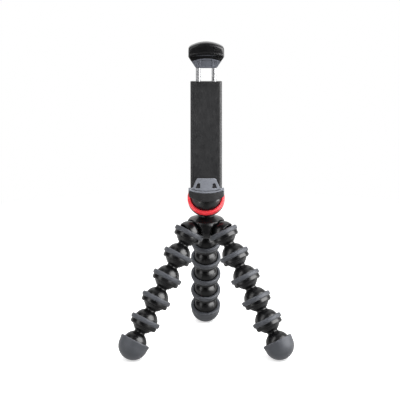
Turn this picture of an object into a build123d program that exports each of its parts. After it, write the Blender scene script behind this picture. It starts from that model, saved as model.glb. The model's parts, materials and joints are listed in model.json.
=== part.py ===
from build123d import *
from math import asin, cos, degrees, radians, sin, sqrt, tan
import os

BASE = (Align.CENTER, Align.CENTER, Align.MIN)

# Pocket tripod with three bendable legs and a sprung clamp for a phone.
# Millimetres. +Z is up, the clamp faces -Y, and the origin is on the floor
# under the middle of the box that the three feet stand in.

# Ball and socket chain of the legs
BALL_R = 6.2
BALL_CUT = -0.1            # a leg ball's flat end, from its centre
FIT = 0.05                 # running clearance of a ball in its socket
PITCH = 12.5               # ball centre to ball centre
NECK_R = 2.8
LINKS = 5
LEG_SPLAY = 31.0           # from straight down
LEG_TURNS = {"left": 210.0, "right": 330.0, "rear": 90.0}

# Mouth of a leg socket, measured along its axis from the ball's centre
LIP_TOP = 0.8
WALL_R = 6.85
RING_TOP = 1.2
RING_BOTTOM = -1.0
RING_R = 7.7
RING_EDGE = 0.75
LIP_GAP = 0.12             # rubber lip to ball
DRUM_R = 7.05
DRUM_BOTTOM = -3.65
DRUM_ROUND = 1.1
STEPS = ((5.25, -4.3), (4.65, -5.0), (4.0, -5.65))
STEP_DRAFT = 0.2
WAIST_ARC = 1.9
ROOM_FLOOR = -3.25         # just below the edge of a ball that is bent 30 degrees

# Rubber foot
FOOT_R = 7.6
FOOT_RIM_R = 7.85
FOOT_RIM_BOTTOM = -0.9
FOOT_DROP = 1.6            # dome centre beyond the ball's centre

# Hub
HUB_BALLS_R = 10.1         # ball centres from the hub's axis
ARM_SPLAY = 55.0
POCKET_R = 8.2             # room for the first link's ring
HOOD_R = 6.75              # hood round each arm
HOOD_ANGLE = 46.0
HUB_TOP = 7.7              # above the plane of the leg balls
HUB_NECK_R = 4.4
CROWN_BOTTOM = -2.9
CROWN_FLOOR_R = 5.5
CROWN_R = 9.6
CROWN_WALL = (0.6, 3.9)    # straight part of the crown's side
CROWN_SHOULDER = (8.5, 6.3)
CROWN_BELLY_ARC = 4.6
CROWN_SHOULDER_ARC = 3.0
CROWN_ROOF_ARC = 14.0
SPIGOT_R = 2.6
SPIGOT_BOTTOM = 3.4
SWIVEL_GAP = 0.1           # head socket's collar above the crown
COLLAR_R = 4.2
COLLAR = 3.0
SCREW_R = 1.0
SCREW_TIP = 3.0            # above the spigot's bottom
SCREW_HEAD_R = 1.7
SCREW_HEAD = 1.1
SCREW_SLOT = (0.5, 0.4)    # width and depth
SCREW_SEAT = -1.2          # underside of the crown inside the screw's well

# Head socket
HEAD_RISE = 17.0           # head ball above the plane of the leg balls
HEAD_BALL_R = 8.0
HEAD_SLANT = 46.0          # socket axis, forward of straight up
BOWL_R = 9.1
BOWL_WALL_R = 8.6
BOWL_LIP = 1.0
BOWL_FLANGE_R = 9.3
BOWL_FLANGE = 1.1
HEAD_LIP_GAP = 0.02
HEAD_RING_R = 9.5
HEAD_RING_TOP = 1.6
HEAD_RING_BOTTOM = -1.5
HEAD_RING_EDGE = 0.8

# Clamp. Its own frame has its origin at the middle of the seat where the
# phone's lower edge rests, Y towards the back and Z along the spine.
CLAMP_LEAN = 10.0
SEAT_FORWARD = 13.0        # seat in front of and above the head ball
SEAT_RISE = 8.7
OPENING = 67.1             # phone's height between the pads at rest
JAW_WIDTH = 18.0
JAW_FRONT = -6.5
JAW_BOW = 1.2              # jaw's sides behind the middle of its front
JAW_CORNER = 0.9
CREASE_X = 4.15            # creases of the lower jaw's front
CREASE_BACK = 0.3
UNDERSIDE = (-3.9, -6.05, -6.5)  # lower jaw's underside at its side, crease and middle
JAW_EDGE = 0.35
SEAM = (-0.85, -1.75, -2.0)  # lower edge of the pad's rim, at the same places
JAW_WALL = 1.2             # jaw's wall in front of the seat
RIM = 0.8
RIM_GROOVE = 0.35
GROOVE_INSET = 0.75
FACE_INSET = 0.35          # lower hook's face behind the rim
TUCK = 0.4                 # seat's tongue under the spine's front
TUCK_DROP = 0.3            # tongue below the seat
SPINE_FRONT = 3.75
SPINE_BACK = 11.0
SPINE_WIDTH = 16.0
SPINE_TOP = 53.8
SPINE_CORNER = 1.5
CAVITY = (12.8, 4.65)      # width and depth of the room for the springs
CAVITY_FRONT = 5.15
CAVITY_BOTTOM = 5.2
CAVITY_TOP = 52.4
COVER = 1.2
COVER_WIDTH = 14.2
COVER_BOTTOM = 1.6
COVER_TOP = 53.0
COVER_SCREWS = (3.4, 50.1)
ROD_R = 1.25
ROD_X = 4.0
ROD_Y = 7.45
ROD_BOTTOM = 16.6
ROD_TOP = 71.0
CROSSBAR = 2.2
GUIDE = 4.6
SPRING_R = 2.1
SPRING_BORE = 1.6
PAD = 1.3
HOOK_INNER = -3.9          # inner face of the hooks, just off the phone's glass
HOOK_CORNER = 1.2
LOWER_HOOK = ((-1.3, 7.75), (5.4, 4.74))  # height and half width at its base and tip
LOWER_TONGUE = ((-1.3, 6.6), (4.3, 4.1))  # plastic inside the hook
TONGUE_CORNER = 0.8
TONGUE_FRONT = -5.3
TONGUE_BACK = -4.55
WINDOW = ((3.25, 2.95), (4.5, 2.95), (5.4, 0.6), (3.0, 0.45))
UPPER_HOOK = ((67.1, 9.4), (61.0, 5.2))
HOOK_INSET = 0.7           # hook behind the upper jaw's front wall
UPPER_SIDE = 66.4          # upper jaw's front wall, lower edge at the sides
UPPER_MIDDLE = 67.7
UPPER_SHOULDER = 71.3
UPPER_CROWN = 74.0
CROWN_ROUND = 1.0
VISOR = 1.0                # height of the raised lip along the front wall's lower edge
VISOR_OUT = 0.35
SKIRT = (63.5, 65.9)       # plastic behind the visor, lower edge at the sides and in the middle
PANEL = (3.0, 61.9, 65.0)  # recess in the upper hook, half width, bottom and top
PANEL_DEPTH = 0.3
UPPER_WINDOW = ((3.7, 64.3), (5.3, 64.0), (4.6, 62.3), (3.6, 62.3))
UPPER_HEEL = 65.6          # underside of the part that holds the rods
HEEL_FLOOR = 1.2
COVER_LEDGE = 0.6
UPPER_SCREW = 69.0
STEM_R = 2.6
STEM_END = 10.4            # from the head ball's centre
BALL_ROOM = 0.35           # lower jaw to head ball
JAW_RISE = 5.9             # lower jaw above the socket's rim, along its axis
SMALL_SCREW_R = 0.8
SMALL_HEAD_R = 1.5
SMALL_HEAD = 0.7
SMALL_SLOT = (0.4, 0.35)
SMALL_LENGTH = 3.5
SMALL_BORE = 4.0
SLIP = 0.3                 # crossbar to the walls of its room
OUTSIDE = 60.0             # far enough to clear the whole clamp


def turned(*lines):
    """Solid turned about local Z from half an outline given as (radius, height) lines."""
    return revolve(Plane.XZ * make_face(lines), Axis.Z)


def arc_edge(start, end, turn):
    """Quarter round between two points of an outline."""
    return RadiusArc(start, end, turn)


def frame_at(point, up, side=(1, 0, 0)):
    """Location whose Z runs along up and whose X leans towards side."""
    return Plane(origin=point, x_dir=side, z_dir=up).location


# Places that the chain of pieces gives
splay = radians(LEG_SPLAY)
reach = HUB_BALLS_R + LINKS * PITCH * sin(splay)
hub_y = -reach / 4
leg_plane = FOOT_R + FOOT_DROP * cos(splay) + LINKS * PITCH * cos(splay)
slant = radians(HEAD_SLANT)
head_axis = Vector(0, -sin(slant), cos(slant))
head_centre = Vector(0, hub_y, leg_plane + HEAD_RISE)
lean = radians(CLAMP_LEAN)
seat = head_centre + Vector(0, -SEAT_FORWARD, SEAT_RISE)
clamp = frame_at(seat, (0, sin(lean), cos(lean)))
hub_frame = Pos(0, hub_y, leg_plane)
head_frame = frame_at(head_centre, head_axis)
ball_frame = clamp.inverse() * head_frame


def outward(leg, out, up):
    """Vector in a leg's own upright plane."""
    turn = radians(LEG_TURNS[leg])
    return Vector(out * cos(turn), out * sin(turn), up)


def leg_joint(leg, number):
    """Centre of a leg's ball, 0 being the one on the hub."""
    out = HUB_BALLS_R + number * PITCH * sin(splay)
    return outward(leg, out, leg_plane - number * PITCH * cos(splay)) + Vector(0, hub_y, 0)


def leg_frame(leg, number):
    """Frame of the piece that holds that ball, with its Z pointing back up the leg."""
    side = outward(leg, cos(splay), sin(splay))
    return frame_at(leg_joint(leg, number), outward(leg, -sin(splay), cos(splay)), side)


# Leg pieces, each in its own frame with the held ball's centre at the origin

def cut_ball(radius, floor):
    """Ball with the part below a floor cut away."""
    return Sphere(radius) & Pos(0, 0, floor) * Cylinder(2 * radius, 2 * radius, align=BASE)


def make_link():
    """Socket in a round-bottomed drum, stepped back, waist and ball in one moulding."""
    drum_side = (DRUM_R, DRUM_BOTTOM + DRUM_ROUND)
    drum_floor = (DRUM_R - DRUM_ROUND, DRUM_BOTTOM)
    back = [drum_floor]
    top = DRUM_BOTTOM
    for radius, bottom in STEPS:
        back += [(radius, top), (radius - STEP_DRAFT, bottom)]
        top = bottom
    neck_top = -PITCH + sqrt(BALL_R**2 - NECK_R**2)
    waist = (NECK_R, neck_top)
    inside_ball = -PITCH + NECK_R
    body = turned(
        Polyline((0, LIP_TOP), (WALL_R, LIP_TOP), (WALL_R, RING_BOTTOM), (DRUM_R, RING_BOTTOM), drum_side),
        arc_edge(drum_side, drum_floor, DRUM_ROUND),
        Polyline(*back),
        arc_edge(back[-1], waist, WAIST_ARC),
        Polyline(waist, (NECK_R, inside_ball), (0, inside_ball), (0, LIP_TOP)),
    )
    return body + Pos(0, 0, -PITCH) * cut_ball(BALL_R, BALL_CUT) - cut_ball(BALL_R + FIT, ROOM_FLOOR)


def make_ring(wall, inner, outer, top, bottom, lip, edge):
    """Rubber ring with a lip that folds over a socket's mouth."""
    return turned(
        Polyline((wall, bottom), (outer - edge, bottom)),
        arc_edge((outer - edge, bottom), (outer, bottom + edge), -edge),
        Line((outer, bottom + edge), (outer, top - edge)),
        arc_edge((outer, top - edge), (outer - edge, top), -edge),
        Polyline((outer - edge, top), (inner, top), (inner, lip), (wall, lip), (wall, bottom)),
    )


def make_foot_socket():
    """Cup that holds the last ball, under the rubber."""
    cup = Pos(0, 0, LIP_TOP / 2) * Cylinder(WALL_R, LIP_TOP)
    cup += Sphere(WALL_R) & Pos(0, 0, -WALL_R / 2) * Cylinder(WALL_R, WALL_R)
    return cup - cut_ball(BALL_R + FIT, ROOM_FLOOR)


def make_foot_cap():
    """Thick rubber dome with a raised rim."""
    inner = BALL_R + LIP_GAP
    edge = RING_EDGE
    dome_side = (FOOT_R, -FOOT_DROP)
    dome_end = (0, -FOOT_DROP - FOOT_R)
    return turned(
        Polyline((WALL_R, 0), (WALL_R, LIP_TOP), (inner, LIP_TOP), (inner, RING_TOP)),
        Line((inner, RING_TOP), (FOOT_RIM_R - edge, RING_TOP)),
        arc_edge((FOOT_RIM_R - edge, RING_TOP), (FOOT_RIM_R, RING_TOP - edge), edge),
        Polyline((FOOT_RIM_R, RING_TOP - edge), (FOOT_RIM_R, FOOT_RIM_BOTTOM), dome_side),
        CenterArc((0, -FOOT_DROP), FOOT_R, 0, -90),
        Line(dome_end, (0, -WALL_R)),
        CenterArc((0, 0), WALL_R, -90, 90),
    )


# Hub and head

def make_hub():
    """Crown with three arms, their pockets and the bore that the head turns in."""
    floor_edge = (CROWN_FLOOR_R, CROWN_BOTTOM)
    wall_bottom, wall_top = [(CROWN_R, height) for height in CROWN_WALL]
    neck_edge = (HUB_NECK_R, HUB_TOP)
    crown = turned(
        Line((0, CROWN_BOTTOM), floor_edge),
        arc_edge(floor_edge, wall_bottom, -CROWN_BELLY_ARC),
        Line(wall_bottom, wall_top),
        arc_edge(wall_top, CROWN_SHOULDER, -CROWN_SHOULDER_ARC),
        arc_edge(CROWN_SHOULDER, neck_edge, CROWN_ROOF_ARC),
        Polyline(neck_edge, (0, HUB_TOP), (0, CROWN_BOTTOM)),
    )
    crown = hub_frame * crown
    arm = radians(ARM_SPLAY)
    for leg in LEG_TURNS:
        back = outward(leg, -sin(arm), cos(arm))
        at = frame_at(leg_joint(leg, 0), back, outward(leg, cos(arm), sin(arm)))
        hood = Cone(0, POCKET_R * tan(radians(HOOD_ANGLE)), POCKET_R, align=BASE)
        crown -= at * (Sphere(POCKET_R) - hood)
        crown -= at * Sphere(HOOD_R)
    for leg in LEG_TURNS:
        back = outward(leg, -sin(arm), cos(arm))
        at = frame_at(leg_joint(leg, 0), back, outward(leg, cos(arm), sin(arm)))
        crown += at * (cut_ball(BALL_R, BALL_CUT) + Cylinder(NECK_R, POCKET_R, align=BASE))
    crown -= Pos(0, 0, SPIGOT_BOTTOM) * hub_frame * Cylinder(SPIGOT_R + FIT, HUB_TOP, align=BASE)
    crown -= hub_frame * Cylinder(SCREW_R + FIT, 2 * HUB_TOP)
    well = Cylinder(SCREW_HEAD_R + 0.1, HUB_TOP, align=BASE)
    return crown - Pos(0, 0, SCREW_SEAT - HUB_TOP) * hub_frame * well


def make_swivel_screw():
    """Screw that holds the head socket down on the hub, its head in the crown's well."""
    top = SCREW_SEAT - FIT
    head = Pos(0, 0, top - SCREW_HEAD) * Cylinder(SCREW_HEAD_R, SCREW_HEAD, align=BASE)
    slot = Pos(0, 0, top - SCREW_HEAD) * Box(SCREW_SLOT[0], 2 * SCREW_HEAD_R, 2 * SCREW_SLOT[1])
    shank = Pos(0, 0, top) * Cylinder(SCREW_R, SPIGOT_BOTTOM + SCREW_TIP - top, align=BASE)
    return hub_frame * (head - slot + shank)


def make_head_socket():
    """Bowl that leans forward, on a spigot that turns in the hub."""
    flange_bottom = HEAD_RING_BOTTOM - BOWL_FLANGE
    flange_in = sqrt(BOWL_R**2 - flange_bottom**2)
    bowl = turned(
        CenterArc((0, 0), BOWL_R, -90, 90 - degrees(asin(-flange_bottom / BOWL_R))),
        Polyline(
            (flange_in, flange_bottom),
            (BOWL_FLANGE_R, flange_bottom),
            (BOWL_FLANGE_R, HEAD_RING_BOTTOM),
            (BOWL_WALL_R, HEAD_RING_BOTTOM),
            (BOWL_WALL_R, BOWL_LIP),
            (0, BOWL_LIP),
            (0, -BOWL_R),
        ),
    )
    bowl = head_frame * bowl
    collar = Pos(0, 0, HUB_TOP + SWIVEL_GAP) * Cylinder(COLLAR_R, COLLAR, align=BASE)
    bottom = SPIGOT_BOTTOM + SWIVEL_GAP
    spigot = Pos(0, 0, bottom) * Cylinder(SPIGOT_R, HUB_TOP - bottom + 1, align=BASE)
    bowl += hub_frame * (collar + spigot - Cylinder(SCREW_R, 2 * (SPIGOT_BOTTOM + SCREW_TIP)))
    return bowl - head_frame * Sphere(HEAD_BALL_R + FIT)


def make_head_ball():
    """Ball that turns in the bowl, with the stem that joins it to the clamp."""
    return head_frame * (Sphere(HEAD_BALL_R) + Cylinder(STEM_R, STEM_END, align=BASE))


# Clamp pieces, in the clamp's own frame

def plan_behind(*front):
    """Plan of a jaw from its front, drawn from left to right, to the spine's back."""
    left = front[0] @ 0
    right = front[-1] @ 1
    back = Polyline(right, (right.X, SPINE_BACK), (left.X, SPINE_BACK), left)
    plan = make_face([*front, back])
    corners = plan.vertices().filter_by(lambda corner: corner.Y < 0 and abs(corner.X) > CREASE_X + 1)
    return fillet(corners, JAW_CORNER)


def bowed_plan(inset=0.0):
    """Plan of the upper jaw, whose front is one long bow."""
    half = JAW_WIDTH / 2
    side = JAW_FRONT + JAW_BOW + inset
    return plan_behind(ThreePointArc((-half, side), (0, JAW_FRONT + inset), (half, side)))


def creased_line(side, crease, middle, past=0.0):
    """Lines across the lower jaw, with a shallow arc between two creases."""
    half = JAW_WIDTH / 2
    end = side + past * (side - crease) / (half - CREASE_X)
    return [
        Line((-half - past, end), (-CREASE_X, crease)),
        ThreePointArc((-CREASE_X, crease), (0, middle), (CREASE_X, crease)),
        Line((CREASE_X, crease), (half + past, end)),
    ]


def bow(side, middle):
    """Arc across the upper jaw through its heights at the sides and middle, drawn on past both sides."""
    half = JAW_WIDTH / 2
    rise = middle - side
    radius = (half**2 + rise**2) / (2 * rise)
    end_x = half + JAW_CORNER
    end = middle - radius + sqrt(radius**2 - end_x**2)
    return [ThreePointArc((-end_x, end), (0, middle), (end_x, end))]


def creased_plan(inset=0.0):
    """Plan of the lower jaw."""
    middle = JAW_FRONT + inset
    return plan_behind(*creased_line(middle + JAW_BOW, middle + CREASE_BACK, middle))


def slab(sketch, bottom, top):
    """Plan drawn up from one height to another."""
    return Pos(0, 0, bottom) * extrude(sketch, top - bottom)


def block(width, front, back, bottom, top):
    """Box given by where its faces are."""
    middle = ((front + back) / 2, (bottom + top) / 2)
    return Pos(0, *middle) * Box(width, back - front, top - bottom)


def through(face):
    """Face seen from the front, drawn right through the clamp."""
    return extrude(Plane.XZ * face, OUTSIDE, both=True)


def between(lines, level):
    """Region from lines across the clamp to a level, drawn right through it."""
    left = lines[0] @ 0
    right = lines[-1] @ 1
    return through(make_face([*lines, Polyline(right, (right.X, level), (left.X, level), left)]))


def seam_line(rise):
    """Line at a height above the lower edge of the pad's rim."""
    return creased_line(*[height + rise for height in SEAM], JAW_CORNER)


def tapered(base, tip, corner):
    """Outline that narrows from its base to a rounded tip."""
    outline = make_face(
        Polyline(
            (base[1], base[0]), (tip[1], tip[0]), (-tip[1], tip[0]), (-base[1], base[0]), (base[1], base[0])
        )
    )
    at_tip = outline.vertices().filter_by(lambda point: abs(point.Y - tip[0]) < FIT)
    return through(fillet(at_tip, corner))


def windows(outline, back):
    """Cuts on both sides of a hook, down to the plastic inside it."""
    cut = through(make_face(Polyline(*outline, outline[0])))
    cut &= block(OUTSIDE, -OUTSIDE, back, -OUTSIDE, 2 * OUTSIDE)
    return [cut, mirror(cut, Plane.YZ)]


def bars(radius, bottom, top):
    """Two round bars in the places of the rods."""
    bar = Cylinder(radius, top - bottom, align=BASE)
    return [Pos(side * ROD_X, ROD_Y, bottom) * bar for side in (-1, 1)]


def small_screw(height, length):
    """Screw that holds a cover, driven from behind."""
    at = Pos(0, SPINE_BACK, height) * Rot(90, 0, 0)
    head = Pos(0, 0, -SMALL_HEAD) * Cylinder(SMALL_HEAD_R, SMALL_HEAD, align=BASE)
    slot = Pos(0, 0, -SMALL_HEAD) * Box(SMALL_SLOT[0], 2 * SMALL_HEAD_R, 2 * SMALL_SLOT[1])
    return at * (head - slot + Cylinder(SMALL_SCREW_R, length, align=BASE))


def front_wall():
    """Space of the lower jaw's front wall, with all that stands above it."""
    return slab(creased_plan(), SEAM[2], PAD) - slab(creased_plan(JAW_WALL), SEAM[2], PAD)


def lower_tongue():
    """Plastic that stiffens the lower hook and shows in its windows."""
    return tapered(*LOWER_TONGUE, TONGUE_CORNER) & block(JAW_WIDTH, TONGUE_FRONT, TONGUE_BACK, -PAD, OUTSIDE)


def make_lower_jaw():
    """Jaw that cradles the head ball, in one with the open-backed spine."""
    jaw = slab(creased_plan(), 2 * UNDERSIDE[2], 0) & between(creased_line(*UNDERSIDE, JAW_CORNER), 0)
    under = jaw.faces().filter_by(lambda face: face.normal_at().Z < -0.3)
    jaw = chamfer(under.edges().filter_by(lambda edge: edge.center().Y < HOOK_INNER), JAW_EDGE)
    jaw -= slab(creased_plan(JAW_WALL), -PAD, PAD)
    jaw -= between(seam_line(0), PAD) & front_wall()
    spine = block(SPINE_WIDTH, SPINE_FRONT, SPINE_BACK, -PAD, SPINE_TOP)
    jaw += fillet(spine.edges().filter_by(Axis.Z), SPINE_CORNER)
    jaw -= block(JAW_WIDTH, -OUTSIDE, SPINE_FRONT + TUCK, -PAD, 0)
    jaw += lower_tongue()
    cavity_back = CAVITY_FRONT + CAVITY[1]
    jaw -= block(CAVITY[0], CAVITY_FRONT, cavity_back, CAVITY_BOTTOM, CAVITY_TOP)
    jaw -= block(COVER_WIDTH, SPINE_BACK - COVER, SPINE_BACK, COVER_BOTTOM, COVER_TOP)
    jaw -= bars(ROD_R + FIT, CAVITY_TOP - 1, SPINE_TOP + 1)
    jaw -= small_screw(COVER_SCREWS[0], SMALL_BORE)
    jaw -= ball_frame * Pos(0, 0, JAW_RISE - OUTSIDE) * Cylinder(OUTSIDE, OUTSIDE, align=BASE)
    return jaw - ball_frame * (Sphere(HEAD_BALL_R + BALL_ROOM) + Cylinder(STEM_R, STEM_END, align=BASE))


def make_rear_cover():
    """Plate that closes the spine."""
    cover = block(COVER_WIDTH, SPINE_BACK - COVER, SPINE_BACK, COVER_BOTTOM, COVER_TOP)
    return cover - [small_screw(height, SMALL_BORE) for height in COVER_SCREWS]


def make_guide():
    """Block that the rods slide in."""
    guide = block(CAVITY[0], CAVITY_FRONT, CAVITY_FRONT + CAVITY[1], CAVITY_TOP - GUIDE, CAVITY_TOP)
    guide -= bars(ROD_R + FIT, CAVITY_TOP - GUIDE - 1, CAVITY_TOP + 1)
    return guide - small_screw(COVER_SCREWS[1], SMALL_BORE)


def make_crossbar():
    """Bar on the rods' lower ends that the springs push down."""
    front = CAVITY_FRONT + SLIP
    back = CAVITY_FRONT + CAVITY[1] - SLIP
    bar = block(CAVITY[0] - 2 * SLIP, front, back, ROD_BOTTOM, ROD_BOTTOM + CROSSBAR)
    return bar - bars(ROD_R, ROD_BOTTOM - 1, ROD_BOTTOM + CROSSBAR + 1)


def make_spring(side):
    """Room that one rod's spring takes between the crossbar and the guide."""
    bottom = ROD_BOTTOM + CROSSBAR
    length = CAVITY_TOP - GUIDE - bottom
    tube = Cylinder(SPRING_R, length, align=BASE) - Cylinder(SPRING_BORE, length, align=BASE)
    return Pos(side * ROD_X, ROD_Y, bottom) * tube


def make_lower_pad():
    """Rubber seat with a rim along the jaw's front and a windowed hook."""
    seat_pad = slab(creased_plan(JAW_WALL), -PAD, 0)
    seat_pad &= block(JAW_WIDTH, -OUTSIDE, SPINE_FRONT + TUCK, -PAD, 0)
    seat_pad -= block(JAW_WIDTH, SPINE_FRONT, OUTSIDE, -TUCK_DROP, 0)
    front = front_wall() & between(seam_line(0), PAD)
    rim = front - between(seam_line(RIM), 2 * PAD)
    behind_groove = front & slab(creased_plan(GROOVE_INSET), SEAM[2], 0)
    face = slab(creased_plan(FACE_INSET), SEAM[2], LOWER_HOOK[1][0])
    face &= block(JAW_WIDTH, -OUTSIDE, HOOK_INNER, SEAM[2], OUTSIDE)
    face &= tapered(*LOWER_HOOK, HOOK_CORNER)
    face &= between(seam_line(RIM + RIM_GROOVE), OUTSIDE)
    pad = seat_pad + behind_groove + rim + face
    return pad - windows(WINDOW, TONGUE_FRONT) - lower_tongue()


def upper_skirt():
    """Plastic that the upper hook is moulded on, set back behind the visor."""
    skirt = slab(bowed_plan(HOOK_INSET), SKIRT[0], OPENING + PAD)
    skirt &= block(JAW_WIDTH, -OUTSIDE, TONGUE_BACK, SKIRT[0], OPENING + PAD)
    return skirt & between(bow(*SKIRT), OPENING + PAD) & tapered(*UPPER_HOOK, HOOK_CORNER)


def make_upper_jaw():
    """Arched jaw on the rods, with a visor along its front and open at the back."""
    jaw = slab(bowed_plan(), UPPER_HEEL, 2 * UPPER_CROWN)
    jaw &= between(bow(UPPER_SHOULDER, UPPER_CROWN), UPPER_HEEL)
    top = jaw.faces().sort_by(Axis.Z)[-1]
    jaw = fillet(top.edges().sort_by(Axis.Y)[0], CROWN_ROUND)
    wall_edge = between(bow(UPPER_SIDE, UPPER_MIDDLE), 2 * UPPER_CROWN)
    jaw &= wall_edge
    visor = slab(bowed_plan(-VISOR_OUT), UPPER_HEEL, UPPER_CROWN) & wall_edge
    visor &= block(JAW_WIDTH, -OUTSIDE, HOOK_INNER, UPPER_HEEL, UPPER_CROWN)
    jaw += visor & between(bow(UPPER_SIDE + VISOR, UPPER_MIDDLE + VISOR), 0)
    jaw -= slab(bowed_plan(HOOK_INSET), 0, OPENING + PAD)
    jaw += upper_skirt()
    heel = block(SPINE_WIDTH, SPINE_FRONT, SPINE_BACK, UPPER_HEEL, OPENING + PAD)
    jaw += fillet(heel.edges().filter_by(Axis.Z), SPINE_CORNER)
    jaw -= block(CAVITY[0], CAVITY_FRONT, SPINE_BACK - COVER, UPPER_HEEL + HEEL_FLOOR, ROD_TOP)
    jaw -= block(COVER_WIDTH, SPINE_BACK - COVER, SPINE_BACK, UPPER_HEEL + COVER_LEDGE, ROD_TOP)
    return jaw - bars(ROD_R, UPPER_HEEL - 1, UPPER_HEEL + HEEL_FLOOR + 1)


def make_upper_cover():
    """Plate that closes the upper jaw."""
    cover = block(COVER_WIDTH, SPINE_BACK - COVER, SPINE_BACK, UPPER_HEEL + COVER_LEDGE, ROD_TOP)
    return cover - small_screw(UPPER_SCREW, SMALL_BORE)


def make_rod_anchor():
    """Block that the rods' upper ends are fixed in."""
    anchor = block(CAVITY[0], CAVITY_FRONT, SPINE_BACK - COVER, UPPER_HEEL + HEEL_FLOOR, ROD_TOP)
    anchor -= bars(ROD_R, UPPER_HEEL, ROD_TOP - 1)
    return anchor - small_screw(UPPER_SCREW, SMALL_BORE)


def make_upper_pad():
    """Rubber hook over the phone's upper edge, with a panel sunk in its face."""
    plate = slab(bowed_plan(HOOK_INSET), OPENING, OPENING + PAD)
    plate -= block(JAW_WIDTH, SPINE_FRONT, OUTSIDE, 0, 2 * OUTSIDE)
    face = slab(bowed_plan(HOOK_INSET), UPPER_HOOK[1][0], OPENING)
    face &= block(JAW_WIDTH, -OUTSIDE, HOOK_INNER, 0, 2 * OUTSIDE)
    pad = plate + (face & tapered(*UPPER_HOOK, HOOK_CORNER)) - upper_skirt()
    panel = slab(bowed_plan(HOOK_INSET), PANEL[1], PANEL[2])
    panel -= slab(bowed_plan(HOOK_INSET + PANEL_DEPTH), PANEL[1], PANEL[2])
    pad -= panel & block(2 * PANEL[0], -OUTSIDE, HOOK_INNER, PANEL[1], PANEL[2])
    return pad - windows(UPPER_WINDOW, TONGUE_FRONT)


pieces = {
    "hub": make_hub(),
    "swivel_screw": make_swivel_screw(),
    "head_socket": make_head_socket(),
    "head_ring": head_frame * make_ring(
        BOWL_WALL_R, HEAD_BALL_R + HEAD_LIP_GAP, HEAD_RING_R,
        HEAD_RING_TOP, HEAD_RING_BOTTOM, BOWL_LIP, HEAD_RING_EDGE,
    ),
    "head_ball": make_head_ball(),
}
link = make_link()
ring = make_ring(WALL_R, BALL_R + LIP_GAP, RING_R, RING_TOP, RING_BOTTOM, LIP_TOP, RING_EDGE)
foot_socket = make_foot_socket()
foot_cap = make_foot_cap()
for leg in LEG_TURNS:
    for number in range(LINKS):
        at = leg_frame(leg, number)
        pieces[f"{leg}_link_{number + 1}"] = at * link
        pieces[f"{leg}_ring_{number + 1}"] = at * ring
    at = leg_frame(leg, LINKS)
    pieces[f"{leg}_foot_socket"] = at * foot_socket
    pieces[f"{leg}_foot_cap"] = at * foot_cap

left_rod, right_rod = bars(ROD_R, ROD_BOTTOM, ROD_TOP - 1)
clamp_pieces = {
    "lower_jaw": make_lower_jaw(),
    "lower_pad": make_lower_pad(),
    "rear_cover": make_rear_cover(),
    "cover_screws": Compound(children=[small_screw(height, SMALL_LENGTH) for height in COVER_SCREWS]),
    "rod_guide": make_guide(),
    "left_spring": make_spring(-1),
    "right_spring": make_spring(1),
    "crossbar": make_crossbar(),
    "left_rod": left_rod,
    "right_rod": right_rod,
    "upper_jaw": make_upper_jaw(),
    "upper_cover": make_upper_cover(),
    "upper_screw": small_screw(UPPER_SCREW, SMALL_LENGTH),
    "rod_anchor": make_rod_anchor(),
    "upper_pad": make_upper_pad(),
}
for name, piece in clamp_pieces.items():
    pieces[name] = clamp * piece

os.makedirs("parts", exist_ok=True)
for name, piece in pieces.items():
    export_step(piece, f"parts/{name}.step")
print(len(pieces), "pieces")
print("head ball's centre", head_centre, "seat", seat, "hub's axis at y", hub_y)
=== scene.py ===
# %% [markdown]
# # A pocket tripod with bendable legs
#
# The object is a small tripod. Each leg is a chain of glossy black balls and
# sockets, and each socket has a band of grey rubber round its mouth. A large
# ball under the clamp sits in a leaning socket with a red rubber ring.
#
# The CAD model holds the true places and sizes. This lesson builds the finish
# around it: the turned pieces are made again as finer meshes with soft edges,
# the free-form mouldings are copied and their edges worn, and every piece gets a
# procedural material. The rods, springs, screws and inner blocks keep their CAD
# meshes, whose shape is right as it is.

# %% The frame
import json
from math import acos, asin, cos, degrees, pi, radians, sin, sqrt, tan

import bmesh
import bpy
from mathutils import Matrix, Vector


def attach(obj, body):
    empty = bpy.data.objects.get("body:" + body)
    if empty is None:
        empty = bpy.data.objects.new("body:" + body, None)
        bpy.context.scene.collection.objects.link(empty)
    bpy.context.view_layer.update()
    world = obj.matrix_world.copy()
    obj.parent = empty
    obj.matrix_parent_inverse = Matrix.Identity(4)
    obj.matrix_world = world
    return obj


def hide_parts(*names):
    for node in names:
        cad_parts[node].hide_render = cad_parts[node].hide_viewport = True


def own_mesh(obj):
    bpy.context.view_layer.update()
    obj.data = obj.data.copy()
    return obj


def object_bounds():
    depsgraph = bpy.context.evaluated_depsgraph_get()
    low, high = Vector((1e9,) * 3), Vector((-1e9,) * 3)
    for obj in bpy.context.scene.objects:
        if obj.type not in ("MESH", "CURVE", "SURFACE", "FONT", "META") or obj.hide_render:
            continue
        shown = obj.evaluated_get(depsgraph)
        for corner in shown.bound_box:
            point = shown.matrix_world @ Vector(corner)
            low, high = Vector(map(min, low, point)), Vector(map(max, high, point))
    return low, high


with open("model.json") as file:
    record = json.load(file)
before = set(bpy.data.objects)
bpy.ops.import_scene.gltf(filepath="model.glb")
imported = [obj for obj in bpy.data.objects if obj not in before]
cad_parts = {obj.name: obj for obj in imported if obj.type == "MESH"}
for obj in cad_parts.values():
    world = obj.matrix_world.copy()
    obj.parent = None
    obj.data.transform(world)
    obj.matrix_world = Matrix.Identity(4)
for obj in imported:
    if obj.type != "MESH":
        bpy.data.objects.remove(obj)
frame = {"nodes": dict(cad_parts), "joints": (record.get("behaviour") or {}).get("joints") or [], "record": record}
cad_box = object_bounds()
nodes = frame["nodes"]
MM = 0.001
LEGS = ("left", "right", "rear")
LINKS = 5
print("CAD box", [tuple(round(value / MM, 1) for value in corner) for corner in cad_box])

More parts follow.
